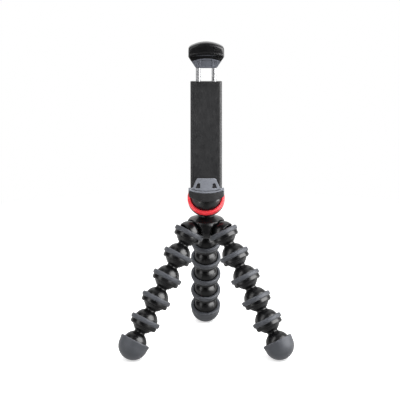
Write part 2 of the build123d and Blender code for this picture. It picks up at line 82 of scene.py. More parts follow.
# %% [markdown]
# ## Where the balls are
#
# Every piece of a leg turns about a ball. The places could be measured and typed
# in, but the joints of the frame already give the centre of every ball, so no
# place is written twice. A leg's six balls run from the hub down to the foot.

# %% Ball centres
pivot = {joint["name"]: Vector(joint["pos_m"]) for joint in frame["joints"] if "pos_m" in joint}
leg_balls = {leg: [pivot[f"{leg}_bend_{number + 1}"] for number in range(LINKS + 1)] for leg in LEGS}
hub_centre = sum((leg_balls[leg][0] for leg in LEGS), Vector()) / len(LEGS)
head_centre = pivot["head_tilt"]
print("hub", hub_centre, "head ball", head_centre)

# %% [markdown]
# ## Camera
#
# The photograph was taken with a long lens from a little above, which keeps the
# legs nearly parallel to their true angles. A short lens close by would fill the
# picture too, but it would spread the legs. The camera stands 1.4 m away and aims
# just above the hub, so it needs no lens shift.

# %% Camera
CAMERA_DISTANCE = 1.4
CAMERA_RISE = radians(15.8)
CAMERA_SIDE = radians(0.32)
AIM_ABOVE = 15.5 * MM
AIM_LEFT = 3.14 * MM
LENS = 245.7

level = cos(CAMERA_RISE)
backward = Vector((-sin(CAMERA_SIDE) * level, -cos(CAMERA_SIDE) * level, sin(CAMERA_RISE)))
rightward = Vector((cos(CAMERA_SIDE), -sin(CAMERA_SIDE), 0))
upward = backward.cross(rightward)
camera_data = bpy.data.cameras.new("camera")
camera_data.lens = LENS
camera = bpy.data.objects.new("camera", camera_data)
bpy.context.scene.collection.objects.link(camera)
camera.location = hub_centre + backward * CAMERA_DISTANCE
aim = hub_centre + upward * AIM_ABOVE - rightward * AIM_LEFT
camera.rotation_euler = (aim - camera.location).to_track_quat("-Z", "Y").to_euler()
bpy.context.scene.camera = camera
print("camera at", camera.location)

# %% [markdown]
# ## Helpers for node trees
#
# Materials and the world are both trees of nodes. They could be built by linking
# every socket by hand, which hides the idea behind the wiring. A short helper adds
# a node, sets its values and joins its inputs, so each finish reads as a small
# recipe. Sockets are found by name, apart from the mix node's: it has several
# inputs of each name, one for every kind of value, so its colours go by number.

# %% Node helpers
FIRST_COLOUR = 6
SECOND_COLOUR = 7
MIXED_COLOUR = 2
USUAL_LOW = 0.3
USUAL_HIGH = 0.7


class Recipe:
    """The node tree of a material or of the world, and the helpers that build it."""

    def __init__(self, owner):
        owner.use_nodes = True
        self.tree = owner.node_tree

    def join(self, socket, value):
        """Links another node's output to a socket, or writes a plain value into it."""
        if isinstance(value, bpy.types.NodeSocket):
            self.tree.links.new(value, socket)
        else:
            socket.default_value = value

    def add(self, kind, settings=None, **inputs):
        """New node with its settings and its named inputs."""
        node = self.tree.nodes.new(kind)
        for name, value in (settings or {}).items():
            setattr(node, name, value)
        for name, value in inputs.items():
            self.join(node.inputs[name.replace("_", " ")], value)
        return node

    def span(self, value, low, high, start=USUAL_LOW, end=USUAL_HIGH):
        """Value from start to end, stretched to run from low to high."""
        limits = {"From_Min": start, "From_Max": end, "To_Min": low, "To_Max": high}
        return self.add("ShaderNodeMapRange", Value=value, **limits).outputs["Result"]

    def maths(self, operation, *values):
        """Result of one step of arithmetic."""
        node = self.add("ShaderNodeMath", {"operation": operation})
        for socket, value in zip(node.inputs, values):
            self.join(socket, value)
        return node.outputs["Value"]

    def mixed_colour(self, share, first, second):
        """Colour between two colours."""
        node = self.add("ShaderNodeMix", {"data_type": "RGBA"}, Factor=share)
        self.join(node.inputs[FIRST_COLOUR], (*first, 1))
        self.join(node.inputs[SECOND_COLOUR], (*second, 1))
        return node.outputs[MIXED_COLOUR]

    def mixed_light(self, share, first, second):
        """Light between the light of two shaders."""
        node = self.add("ShaderNodeMixShader", Fac=share)
        self.join(node.inputs[1], first)
        self.join(node.inputs[2], second)
        return node.outputs["Shader"]


# %% [markdown]
# ## Helpers for finishes
#
# A finish is the look of one kind of surface. It could be an image wrapped round
# each piece, but noise in three dimensions needs no unwrapping and shows no seam.
# All patterns use object coordinates, in metres, so a pattern stays on its piece
# when the piece moves. Most of a noise pattern lies between 0.3 and 0.7, which is
# why that range is the one that gets stretched.

# %% Finish helpers
class SurfaceRecipe(Recipe):
    """The recipe of a new material, which starts from the principled shader."""

    def __init__(self, name):
        self.material = bpy.data.materials.new(name)
        super().__init__(self.material)
        self.shader = self.tree.nodes["Principled BSDF"]
        self.place = self.add("ShaderNodeTexCoord").outputs["Object"]

    def noise(self, size, detail=2.0, roughness=0.5):
        """Soft random pattern whose patches are about size across."""
        pattern = {"Scale": 1 / size, "Detail": detail, "Roughness": roughness}
        return self.add("ShaderNodeTexNoise", Vector=self.place, **pattern).outputs["Fac"]

    def bump(self, height, depth, normal=None):
        """Surface that rises and sinks with a pattern, on top of an earlier bump if there is one."""
        node = self.add("ShaderNodeBump", Strength=1.0, Distance=depth, Height=height)
        if normal:
            self.join(node.inputs["Normal"], normal)
        return node.outputs["Normal"]

    def give(self, **inputs):
        """Sets the shader's own sockets."""
        for name, value in inputs.items():
            self.join(self.shader.inputs[name.replace("_", " ")], value)

    def done(self):
        """Reports the recipe and hands over its material."""
        print(self.material.name, "has", len(self.tree.nodes), "nodes")
        return self.material


# %% [markdown]
# ## Polished black plastic
#
# The links, the hub, the head ball and the upper jaw are glossy mouldings. Their
# near-black colour barely shows, so the surface is told by its reflections. One
# low roughness all over would look like glass. A slow waviness from the mould,
# patches of slightly different polish and a very fine grain break the highlights
# up a little, as on the real plastic.

# %% Polished plastic
GLOSS_DARK = (0.002, 0.002, 0.0024)
GLOSS_LIGHT = (0.004, 0.004, 0.0045)
GLOSS_ROUGHNESS = (0.24, 0.34)
WAVE_SIZE = 2.4 * MM
WAVE_DEPTH = 0.012 * MM
GLOSS_GRAIN_SIZE = 0.25 * MM
GLOSS_GRAIN_DEPTH = 0.0006 * MM


def polished_plastic():
    recipe = SurfaceRecipe("polished_black_plastic")
    tone = recipe.noise(6 * MM, detail=3)
    polish = recipe.noise(9 * MM, detail=3)
    waves = recipe.bump(recipe.noise(WAVE_SIZE, detail=1), WAVE_DEPTH)
    recipe.give(
        Base_Color=recipe.mixed_colour(tone, GLOSS_DARK, GLOSS_LIGHT),
        Roughness=recipe.span(polish, *GLOSS_ROUGHNESS),
        Normal=recipe.bump(recipe.noise(GLOSS_GRAIN_SIZE), GLOSS_GRAIN_DEPTH, waves),
    )
    return recipe.done()


FINISH = {"gloss_black": polished_plastic()}

# %% [markdown]
# ## Matte black plastic
#
# The lower jaw and the spine look as if they came from a spark-eroded mould, whose
# fine sand texture breaks every reflection into a soft sheen. Modelled grains
# would take millions of faces, so a bump does the work.

# %% Matte plastic
MATTE_DARK = (0.008, 0.008, 0.009)
MATTE_LIGHT = (0.015, 0.015, 0.016)
MATTE_ROUGHNESS = (0.42, 0.56)
SAND_SIZE = 0.16 * MM
SAND_DEPTH = 0.012 * MM


def matte_plastic():
    recipe = SurfaceRecipe("matte_black_plastic")
    tone = recipe.noise(5 * MM, detail=4)
    handling = recipe.noise(3 * MM, detail=3)
    recipe.give(
        Base_Color=recipe.mixed_colour(tone, MATTE_DARK, MATTE_LIGHT),
        Roughness=recipe.span(handling, *MATTE_ROUGHNESS),
        Normal=recipe.bump(recipe.noise(SAND_SIZE, detail=3, roughness=0.6), SAND_DEPTH),
    )
    return recipe.done()


FINISH["matte_black"] = matte_plastic()

# %% [markdown]
# ## Rubber
#
# The grey bands, feet and pads are soft-touch rubber. It scatters nearly all
# light, so a very fine grain, a slightly uneven bloom on the surface and a faint
# sheen at the edges carry the look. One recipe makes every rubber, with its own
# pair of colours: light grey for the lower pad, darker grey for the legs, and a
# saturated red with more shine for the head's ring. The upper jaw's hook gets the
# pad's rubber painted much darker, as painted shade on a face that turns down.

# %% Rubber
RUBBER_GRAIN_SIZE = 0.2 * MM
RUBBER_GRAIN_DEPTH = 0.012 * MM
SPECKLE_SHARE = 0.35
SHEEN_ROUGHNESS = 0.5


def rubber(name, dark, light, roughness=(0.6, 0.78), sheen=0.15):
    recipe = SurfaceRecipe(name)
    bloom = recipe.noise(4 * MM, detail=4, roughness=0.6)
    speckle = recipe.noise(0.3 * MM)
    cloudy = recipe.maths("MULTIPLY", bloom, 1 - SPECKLE_SHARE)
    tone = recipe.maths("MULTIPLY_ADD", speckle, SPECKLE_SHARE, cloudy)
    recipe.give(
        Base_Color=recipe.mixed_colour(recipe.span(tone, 0, 1), dark, light),
        Roughness=recipe.span(bloom, *roughness),
        Normal=recipe.bump(recipe.noise(RUBBER_GRAIN_SIZE, detail=3, roughness=0.6), RUBBER_GRAIN_DEPTH),
        Sheen_Weight=sheen,
        Sheen_Roughness=SHEEN_ROUGHNESS,
    )
    return recipe.done()


FINISH["grey_rubber"] = rubber(
    "grey_rubber", (0.034, 0.037, 0.045), (0.05, 0.054, 0.064), roughness=(0.48, 0.62)
)
FINISH["pad_rubber"] = rubber("pad_rubber", (0.12, 0.128, 0.15), (0.16, 0.17, 0.195))
# The upper jaw's hook takes the pad's rubber with painted shade: a darker copy for its face that turns down.
FINISH["shaded_pad_rubber"] = rubber("shaded_pad_rubber", (0.04, 0.044, 0.056), (0.058, 0.063, 0.078))
FINISH["red_rubber"] = rubber(
    "red_rubber", (0.9, 0.028, 0.042), (0.98, 0.04, 0.055), roughness=(0.38, 0.5), sheen=0.05
)

# %% [markdown]
# ## Steel
#
# The rods are bright ground bar, and the springs and screws have a duller, coarser
# skin of plating. A metal is all reflection, so a mirror would only show the room.
# Clouds in its tone and roughness and a fine grain give it a surface of its own.

# %% Steel
STEEL_GRAIN_DEPTH = 0.002 * MM
DARKER_SHARE = 0.8
ROUGHNESS_SPREAD = 0.12


def steel(name, colour, smoothest, grain_size):
    recipe = SurfaceRecipe(name)
    cloud = recipe.noise(2 * MM, detail=3)
    dark = tuple(DARKER_SHARE * value for value in colour)
    recipe.give(
        Base_Color=recipe.mixed_colour(cloud, dark, colour),
        Metallic=1.0,
        Roughness=recipe.span(cloud, smoothest, smoothest + ROUGHNESS_SPREAD),
        Normal=recipe.bump(recipe.noise(grain_size), STEEL_GRAIN_DEPTH),
    )
    return recipe.done()


FINISH["bright_steel"] = steel("bright_steel", (0.5, 0.5, 0.51), smoothest=0.3, grain_size=0.15 * MM)
FINISH["screw_steel"] = steel("screw_steel", (0.45, 0.45, 0.46), smoothest=0.3, grain_size=0.4 * MM)

# %% [markdown]
# ## Finishes on the CAD pieces
#
# The frame's record names a material slot for each piece. Going by the slots, and
# not by a list of pieces made for this lesson, leaves no piece without a finish.

# %% Finishes on the CAD pieces
slot_of = {piece["node"]: piece["material_slot"] for piece in frame["record"]["subparts"]}
for name, node in nodes.items():
    node.data.materials.clear()
    node.data.materials.append(FINISH[slot_of[name]])
print(len(FINISH), "finishes on", len(nodes), "CAD nodes")

# %% [markdown]
# ## Outlines
#
# Every ball, socket and ring is round about its own axis, so one half outline
# describes it, as radius and height in millimetres. Plain CAD edges are knife
# sharp, and a real moulding never is. A bevel modifier could round them after
# turning, but rounding the corners of the outline first is exact and cheap, and
# those small radii catch the light.

# %% Outline helpers
CORNER_STEPS = 5
SMALLEST_TURN = radians(12)
LARGEST_INSET = 0.45


def arc(centre, radius, start, end, steps):
    """Points on a round stretch of an outline, from one angle to another."""
    turns = [radians(start + (end - start) * step / steps) for step in range(steps + 1)]
    return [(centre[0] + radius * cos(turn), centre[1] + radius * sin(turn)) for turn in turns]


def softened(outline, radius):
    """The outline with its corners rounded and its two ends as they were."""
    points = [Vector(point) for point in outline]
    result = [tuple(points[0])]
    for before, here, after in zip(points, points[1:], points[2:]):
        to_last = before - here
        to_next = after - here
        opening = to_last.angle(to_next)
        if pi - opening < SMALLEST_TURN:
            result.append(tuple(here))
            continue
        inset = min(radius / tan(opening / 2), LARGEST_INSET * min(to_last.length, to_next.length))
        bend = inset * tan(opening / 2)
        middle = here + (to_last.normalized() + to_next.normalized()).normalized() * bend / sin(opening / 2)
        first = here + to_last.normalized() * inset - middle
        last = here + to_next.normalized() * inset - middle
        sweep = first.angle_signed(last)
        for step in range(CORNER_STEPS + 1):
            turned_by = Matrix.Rotation(-sweep * step / CORNER_STEPS, 2)
            result.append(tuple(middle + turned_by @ first))
    result.append(tuple(points[-1]))
    return result


# %% [markdown]
# ## The lathe
#
# A lathe turns an outline into a mesh, with a hoop of points for each point of the
# outline and a single point where the outline meets the axis. The Screw modifier
# with its merge option could do this too. A few lines of bmesh do it in one step,
# and the same lines turn a closed section, such as that of a rubber band.

# %% Lathe
AROUND = 96
ON_AXIS = 1e-6


def lathe(outline, closed=False, around=AROUND):
    """Mesh of an outline in millimetres, turned about Z."""
    maker = bmesh.new()
    turns = [2 * pi * step / around for step in range(around)]
    hoops = []
    for radius, height in outline:
        hoop = [(radius * MM * cos(turn), radius * MM * sin(turn), height * MM) for turn in turns]
        if radius < ON_AXIS:
            hoop = [(0, 0, height * MM)]
        hoops.append([maker.verts.new(point) for point in hoop])
    following = hoops[1:] + hoops[:1] if closed else hoops[1:]
    for upper, lower in zip(hoops, following):
        for step in range(around):
            after = (step + 1) % around
            corners = [upper[step % len(upper)], upper[after % len(upper)]]
            corners += [lower[after % len(lower)], lower[step % len(lower)]]
            corners = list(dict.fromkeys(corners))
            if len(corners) > 2:
                maker.faces.new(corners)
    bmesh.ops.recalc_face_normals(maker, faces=maker.faces)
    return maker


# %% [markdown]
# ## Placing a piece
#
# A turned mesh is made upright about the origin and then moved to its place by a
# matrix, because a piece of this frame keeps its place in its mesh. Smooth shading
# alone would bend the light on flat faces next to a small round, so the normals
# are weighted by area, and the flat faces stay flat.

# %% Placing helpers
FLAT_FACES_FIRST = 100


def frame_at(centre, up, side):
    """Matrix whose Z runs along up and whose X leans towards side."""
    z = up.normalized()
    x = (side - z * side.dot(z)).normalized()
    axes = Matrix((x, z.cross(x), z)).transposed()
    return Matrix.Translation(centre) @ axes.to_4x4()


def shade_smooth(mesh):
    """Blends the light from face to face."""
    for face in mesh.polygons:
        face.use_smooth = True


def new_piece(name, mesh_maker, place, finish, body, replaced):
    """Puts a mesh in its place, gives it a finish and lets it ride on its body."""
    mesh = bpy.data.meshes.new(name)
    mesh_maker.to_mesh(mesh)
    mesh_maker.free()
    mesh.transform(place)
    mesh.materials.append(FINISH[finish])
    shade_smooth(mesh)
    piece = bpy.data.objects.new(name, mesh)
    bpy.context.scene.collection.objects.link(piece)
    even = piece.modifiers.new("flat_faces_stay_flat", "WEIGHTED_NORMAL")
    even.mode = "FACE_AREA"
    even.weight = FLAT_FACES_FIRST
    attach(piece, body)
    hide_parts(replaced)


# %% [markdown]
# ## Leg links
#
# One link is a single moulding: a round-bottomed drum that holds the ball above,
# three small terraces that step in like a cone, a narrow waist, and the ball for
# the next socket. It could be a subdivided cage, but a turned outline keeps the
# true radii, and the small round at each step shows as a fine bright line.
#
# Heights are counted in millimetres from the middle of the ball above. Each
# terrace is given by the radius of its edge and the height where its side ends.

# %% Sizes of a link
BALL_RADIUS = 6.2
BALL_CUT = -0.1
FIT = 0.05
PITCH = 12.5
WALL_RADIUS = 6.85
LIP_TOP = 0.8
RING_BOTTOM = -1.2
ROOM_FLOOR = -3.25
DRUM_RADIUS = 7.05
DRUM_BOTTOM = -3.65
DRUM_ROUND = 1.1
TERRACES = ((5.25, -4.3), (4.65, -5.0), (4.0, -5.65))
TERRACE_DRAFT = 0.34
TERRACE_EDGE = 0.1
WAIST_ARC = 0.9
NECK_RADIUS = 2.8
NECK_FILLET = 0.9
print("a ball of", 2 * BALL_RADIUS, "mm every", PITCH, "mm")

# %% Outline of a link
ROOM_STEPS = 20
DRUM_STEPS = 10
WAIST_STEPS = 8
FILLET_STEPS = 8
BALL_STEPS = 44


def room_outline():
    """Inside of a socket, from the middle of its floor up to its mouth."""
    room_radius = BALL_RADIUS + FIT
    floor_turn = degrees(asin(ROOM_FLOOR / room_radius))
    mouth_turn = degrees(asin(LIP_TOP / room_radius))
    return [(0, ROOM_FLOOR)] + arc((0, 0), room_radius, floor_turn, mouth_turn, ROOM_STEPS)


def hollow(start, end, radius, steps):
    """Inward curve on an outline that runs down, with its centre on the outer side."""
    start = Vector(start)
    end = Vector(end)
    chord = end - start
    across = Vector((-chord.y, chord.x)).normalized()
    middle = (start + end) / 2 + across * sqrt(radius**2 - (chord.length / 2) ** 2)
    first = start - middle
    sweep = first.angle_signed(end - middle)
    return [tuple(middle + Matrix.Rotation(-sweep * step / steps, 2) @ first) for step in range(steps + 1)]


def link_outline():
    """Half outline of a link, from the socket's floor over the lip and down to the ball."""
    wall = [(WALL_RADIUS, LIP_TOP), (WALL_RADIUS, RING_BOTTOM)]
    drum_centre = (DRUM_RADIUS - DRUM_ROUND, DRUM_BOTTOM + DRUM_ROUND)
    drum = [(DRUM_RADIUS, RING_BOTTOM)] + arc(drum_centre, DRUM_ROUND, 0, -90, DRUM_STEPS)
    steps = [drum[-1]]
    top = DRUM_BOTTOM
    for radius, bottom in TERRACES:
        steps += [(radius, top), (radius - TERRACE_DRAFT, bottom)]
        top = bottom
    neck_turn = degrees(acos((NECK_RADIUS + NECK_FILLET) / (BALL_RADIUS + NECK_FILLET)))
    neck = -PITCH + (BALL_RADIUS + NECK_FILLET) * sin(radians(neck_turn))
    waist = hollow(steps[-1], (NECK_RADIUS, neck), WAIST_ARC, WAIST_STEPS)
    fillet = arc((NECK_RADIUS + NECK_FILLET, neck), NECK_FILLET, 180, 180 + neck_turn, FILLET_STEPS)
    cut_turn = degrees(asin(BALL_CUT / BALL_RADIUS))
    ball = arc((0, -PITCH), BALL_RADIUS, neck_turn, cut_turn, BALL_STEPS) + [(0, BALL_CUT - PITCH)]
    socket = room_outline() + wall + drum[:-1]
    return socket + softened(steps, TERRACE_EDGE) + waist[1:-1] + fillet + ball[1:]


link_shape = link_outline()
print("link outline has", len(link_shape), "points")

# %% [markdown]
# ## A link on every ball
#
# The fifteen links are alike. Linked copies of one mesh would be lighter, but in
# this frame the place of a piece is kept in its mesh, so a loop turns the outline
# once for each link.

# %% Links on the legs
def leg_frame(leg, number):
    """Frame of the piece that holds that ball, with its Z pointing back up the leg."""
    balls = leg_balls[leg]
    first = min(number, LINKS - 1)
    up = balls[first] - balls[first + 1]
    side = Vector((balls[-1].x - balls[0].x, balls[-1].y - balls[0].y, 0))
    return frame_at(balls[number], up, side)


for leg in LEGS:
    for number in range(LINKS):
        name = f"{leg}_link_{number + 1}"
        body = f"{leg}_leg_{number + 1}"
        new_piece(f"{name}_gloss", lathe(link_shape), leg_frame(leg, number), "gloss_black", body, name)
print(len(LEGS) * LINKS, "links placed")

# %% [markdown]
# ## Rubber bands
#
# A soft band is moulded over the mouth of every socket. Its outer edges are well
# rounded, and a thin lip folds over the rim towards the ball. A squashed torus
# would be quicker, but it has neither the lip nor the flat inner wall that sits on
# the socket, so the band is turned from a closed section.

# %% Rubber bands
RING_TOP = 1.3
RING_RADIUS = 7.8
RING_EDGE = 0.85
LIP_GAP = 0.12
LIP_EDGE = 0.3
EDGE_STEPS = 7
LIP_STEPS = 4


def band_outline(wall, inner, outer, top, bottom, lip, edge):
    """Closed section of a band, starting at its lower inner corner."""
    outer_corners = arc((outer - edge, bottom + edge), edge, -90, 0, EDGE_STEPS)
    outer_corners += arc((outer - edge, top - edge), edge, 0, 90, EDGE_STEPS)
    lip_corner = arc((inner + LIP_EDGE, top - LIP_EDGE), LIP_EDGE, 90, 180, LIP_STEPS)
    return [(wall, bottom), *outer_corners, *lip_corner, (inner, lip), (wall, lip)]


inner_radius = BALL_RADIUS + LIP_GAP
band_shape = band_outline(WALL_RADIUS, inner_radius, RING_RADIUS, RING_TOP, RING_BOTTOM, LIP_TOP, RING_EDGE)
for leg in LEGS:
    for number in range(LINKS):
        name = f"{leg}_ring_{number + 1}"
        body = f"{leg}_leg_{number + 1}"
        band = lathe(band_shape, closed=True)
        new_piece(f"{name}_band", band, leg_frame(leg, number), "grey_rubber", body, name)
print(len(LEGS) * LINKS, "bands,", RING_TOP - RING_BOTTOM, "mm thick and", 2 * RING_RADIUS, "mm wide")

# %% [markdown]
# ## Feet
#
# A foot is a hard cup that holds the last ball, under a thick dome of the same
# grey rubber, whose wide rim runs into the dome without a step. Sculpting would
# suit a worn foot, but this one is as round as the rings above it, so it is turned
# too. It gets twice as many points round it, because its dome is the broadest
# smooth face on a leg.

# %% Feet
FOOT_RADIUS = 7.6
FOOT_RIM_RADIUS = 7.85
FOOT_RIM_BOTTOM = 0.3
FOOT_DROP = 1.6
FOOT_EDGE = 0.7
CUP_STEPS = 20
DOME_STEPS = 40
INSIDE_STEPS = 16


def cup_outline():
    """Hard cup: the socket's room, its lip and a round outside."""
    return room_outline() + [(WALL_RADIUS, LIP_TOP)] + arc((0, 0), WALL_RADIUS, 0, -90, CUP_STEPS)


def foot_outline():
    """Rubber foot: its inside round the cup, its rim and its dome."""
    rim = [(inner_radius, LIP_TOP), (inner_radius, RING_TOP), (FOOT_RIM_RADIUS, RING_TOP)]
    rim += [(FOOT_RIM_RADIUS, FOOT_RIM_BOTTOM), (FOOT_RADIUS, -FOOT_DROP)]
    dome = arc((0, -FOOT_DROP), FOOT_RADIUS, 0, -90, DOME_STEPS)
    inside = arc((0, 0), WALL_RADIUS, -90, 0, INSIDE_STEPS)
    return inside + [(WALL_RADIUS, LIP_TOP)] + softened(rim, FOOT_EDGE) + dome[1:]


for leg in LEGS:
    place = leg_frame(leg, LINKS)
    cup = lathe(cup_outline())
    new_piece(f"{leg}_foot_cup", cup, place, "gloss_black", f"{leg}_foot", f"{leg}_foot_socket")
    dome = lathe(foot_outline(), around=2 * AROUND)
    new_piece(f"{leg}_foot_dome", dome, place, "grey_rubber", f"{leg}_foot", f"{leg}_foot_cap")
print(len(LEGS), "feet,", 2 * FOOT_RIM_RADIUS, "mm wide at the rim")

# %% [markdown]
# ## Head
#
# The clamp stands on a large ball, held by a bowl that leans forward on the hub. A
# ready-made sphere would leave its poles and its stem to be patched up. Ball and
# stem are turned in one outline like the links, and the red band goes round the
# bowl, with more points round it than a leg's band because it is larger.

# %% Head ball and red band
HEAD_SLANT = radians(46)
HEAD_BALL_RADIUS = 8.0
HEAD_BALL_STEPS = 60
STEM_RADIUS = 2.6
STEM_END = 10.4
BOWL_WALL_RADIUS = 8.6
BOWL_LIP = 1.0
HEAD_LIP_GAP = 0.02
HEAD_RING_RADIUS = 9.5
HEAD_RING_TOP = 1.6
HEAD_RING_BOTTOM = -1.5
HEAD_RING_EDGE = 0.8
HEAD_RING_AROUND = 128

head_frame = frame_at(head_centre, Vector((0, -sin(HEAD_SLANT), cos(HEAD_SLANT))), Vector((1, 0, 0)))
stem_angle = degrees(acos(STEM_RADIUS / HEAD_BALL_RADIUS))
head_shape = [(0, STEM_END), (STEM_RADIUS, STEM_END)]
head_shape += arc((0, 0), HEAD_BALL_RADIUS, stem_angle, -90, HEAD_BALL_STEPS)
new_piece("head_ball_gloss", lathe(head_shape), head_frame, "gloss_black", "clamp", "head_ball")
red_band_shape = band_outline(
    BOWL_WALL_RADIUS,
    HEAD_BALL_RADIUS + HEAD_LIP_GAP,
    HEAD_RING_RADIUS,
    HEAD_RING_TOP,
    HEAD_RING_BOTTOM,
    BOWL_LIP,
    HEAD_RING_EDGE,
)
red_band = lathe(red_band_shape, closed=True, around=HEAD_RING_AROUND)
new_piece("head_ring_band", red_band, head_frame, "red_rubber", "head_socket", "head_ring")
print("head ball", 2 * HEAD_BALL_RADIUS, "mm wide, red band", 2 * HEAD_RING_RADIUS, "mm wide")

# %% [markdown]
# ## Free-form mouldings
#
# The hub, the jaws, the pads and the bowl aren't round about one axis. They could
# be modelled again as cages, but copying their CAD surfaces keeps each window and
# pocket where it belongs. A copy is filled again with an even fine mesh and then
# relaxed a few times. That wears every sharp edge down to a small round and leaves
# the flat and curved faces where they are. The finer the grain, the smaller the
# details that survive, and the more faces the piece has.

# %% Worn copies
SMOOTHING = 0.5


def worn_copy(node, finish, body, grain, passes):
    """Copy of a CAD node with its edges worn, from a grain in millimetres and a number of passes."""
    piece = bpy.data.objects.new(f"{node}_worn", nodes[node].data.copy())
    bpy.context.scene.collection.objects.link(piece)
    even = piece.modifiers.new("even_mesh", "REMESH")
    even.mode = "VOXEL"
    even.voxel_size = grain * MM
    worn = piece.modifiers.new("worn_edges", "SMOOTH")
    worn.factor = SMOOTHING
    worn.iterations = passes
    depsgraph = bpy.context.evaluated_depsgraph_get()
    mesh = bpy.data.meshes.new_from_object(piece.evaluated_get(depsgraph))
    piece.modifiers.clear()
    piece.data = mesh
    mesh.materials.clear()
    mesh.materials.append(FINISH[finish])
    shade_smooth(mesh)
    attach(piece, body)
    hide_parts(node)
    print(node, "has", len(mesh.polygons), "faces")
    return piece


worn_copy("hub", "gloss_black", "hub", grain=0.18, passes=3)
worn_copy("head_socket", "gloss_black", "head_socket", grain=0.15, passes=4)
upper_jaw = worn_copy("upper_jaw", "gloss_black", "sliding_jaw", grain=0.14, passes=5)
# The upper pad gets the darker copy of the pad rubber, a painted shade.
worn_copy("upper_pad", "shaded_pad_rubber", "sliding_jaw", grain=0.1, passes=4)
worn_copy("lower_jaw", "matte_black", "clamp", grain=0.24, passes=3)
worn_copy("lower_pad", "pad_rubber", "clamp", grain=0.1, passes=4)
worn_copy("rear_cover", "matte_black", "clamp", grain=0.2, passes=3)

# %% [markdown]
# ## The crown of the upper jaw
#
# The arched top of the upper jaw is rounder than its other edges. A bevel would
# need a clean loop of edges, which this even mesh hasn't got. Smoothing only the
# points near the top, many times over, turns the edge there into a broad soft
# shoulder, and its long highlight follows the arch. The zone shrinks towards the
# top from stage to stage, so that no line shows where it ends.

# %% Broad round along the crown
CROWN_DEPTH = 5.0
CROWN_SHRINK = 0.8
CROWN_STAGES = 25
CROWN_PASSES = 12

slide = next(joint for joint in frame["joints"] if joint["name"] == "jaw_slide")
slide_up = Vector(slide["axis"])


def round_crown(piece):
    """Smooths the points near the jaw's top, in stages that reach less and less far down."""
    maker = bmesh.new()
    maker.from_mesh(piece.data)
    top = max(vertex.co.dot(slide_up) for vertex in maker.verts)
    axes = {"use_axis_x": True, "use_axis_y": True, "use_axis_z": True}
    for stage in range(CROWN_STAGES):
        zone = CROWN_DEPTH * (1 - CROWN_SHRINK * stage / CROWN_STAGES)
        high = [vertex for vertex in maker.verts if top - vertex.co.dot(slide_up) < zone * MM]
        for _ in range(CROWN_PASSES):
            bmesh.ops.smooth_vert(maker, verts=high, factor=SMOOTHING, **axes)
    after = max(vertex.co.dot(slide_up) for vertex in maker.verts)
    maker.to_mesh(piece.data)
    maker.free()
    print("top lowered by", round((top - after) / MM, 2), "mm")


round_crown(upper_jaw)

# %% [markdown]
# ## Springs inside the spine
#
# Two springs sit on the rods between a fixed guide and the crossbar. Opening the
# jaws pulls the crossbar up, and the springs get shorter by as much. A shape key
# with a driver could shorten them; this cell only gives each spring a mesh of its
# own.

# %% Springs
for name in ("left_spring", "right_spring"):
    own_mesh(nodes[name])

# %% [markdown]
# ## Floor
#
# The photograph has a white studio table with faint shadows under the feet. More
# light would make the floor white too, but it would wash out the black plastic. So
# the camera sees real light and shadow near the tripod, lifted by a little light
# of the floor's own, and plain white further out. Light that bounces off the floor
# comes from a plain pale surface.
#
# The glossy balls mirror the table, but what they see there is a painted pattern:
# it is dim in front, with painted shade towards the middle under the tripod and a
# painted reflection of a lamp as a bright spot on either side. The table glows
# with that pattern for glossy rays only.

# %% Painted pattern that the balls mirror
# Painted shade in the middle under the tripod, and two painted lamp reflections, as glow on the table.
PAINTED_SHADE_MIDDLE = 0.4
SHINE_SIDES = 1.0
PAINTED_SHADE_ENDS = 0.015
SHINE_SIDES_BEGIN = 0.07
SHINE_FRONT = 0.04
SHINE_BACK = 1.0
SHINE_FRONT_ENDS = -0.28
SHINE_BACK_BEGINS = -0.08
SPOT_CORE = 0.3
# Painted reflections of two lamps: glowing spots on the table.
PAINTED_LAMP_SPOTS = (
    {"x": -0.226, "y": -0.206, "size": 0.09, "strength": 9.0},
    {"x": 0.5, "y": 0.0, "size": 0.22, "strength": 16.0},
)


def distance_from(recipe, point):
    """How far the shaded point is from another one, in metres."""
    node = recipe.add("ShaderNodeVectorMath", {"operation": "DISTANCE"})
    recipe.join(node.inputs[0], recipe.place)
    recipe.join(node.inputs[1], point)
    return node.outputs["Value"]


def painted_table_glow(recipe):
    """Painted glow of the table for glossy rays: painted shade in the middle and painted lamp reflections."""
    spot = recipe.add("ShaderNodeSeparateXYZ", Vector=recipe.place)
    aside = recipe.maths("ABSOLUTE", spot.outputs["X"])
    across = recipe.span(aside, PAINTED_SHADE_MIDDLE, SHINE_SIDES, PAINTED_SHADE_ENDS, SHINE_SIDES_BEGIN)
    along = recipe.span(spot.outputs["Y"], SHINE_FRONT, SHINE_BACK, SHINE_FRONT_ENDS, SHINE_BACK_BEGINS)
    glow = recipe.maths("MULTIPLY", across, along)
    # Each spot is a painted reflection of a lamp, glowing on the table.
    for lamp in PAINTED_LAMP_SPOTS:
        away = distance_from(recipe, (lamp["x"], lamp["y"], 0))
        painted_spot_glow = recipe.span(away, lamp["strength"], 0, SPOT_CORE * lamp["size"], lamp["size"])
        glow = recipe.maths("ADD", glow, painted_spot_glow)
    return glow


# %% Floor material
WHITE = (1, 1, 1, 1)
FLOOR_COLOUR = (0.8, 0.8, 0.8, 1)
FLOOR_ROUGHNESS = 0.9
FLOOR_FILL = 0.6
FLOOR_NEAR = 0.12
FLOOR_FAR = 0.3


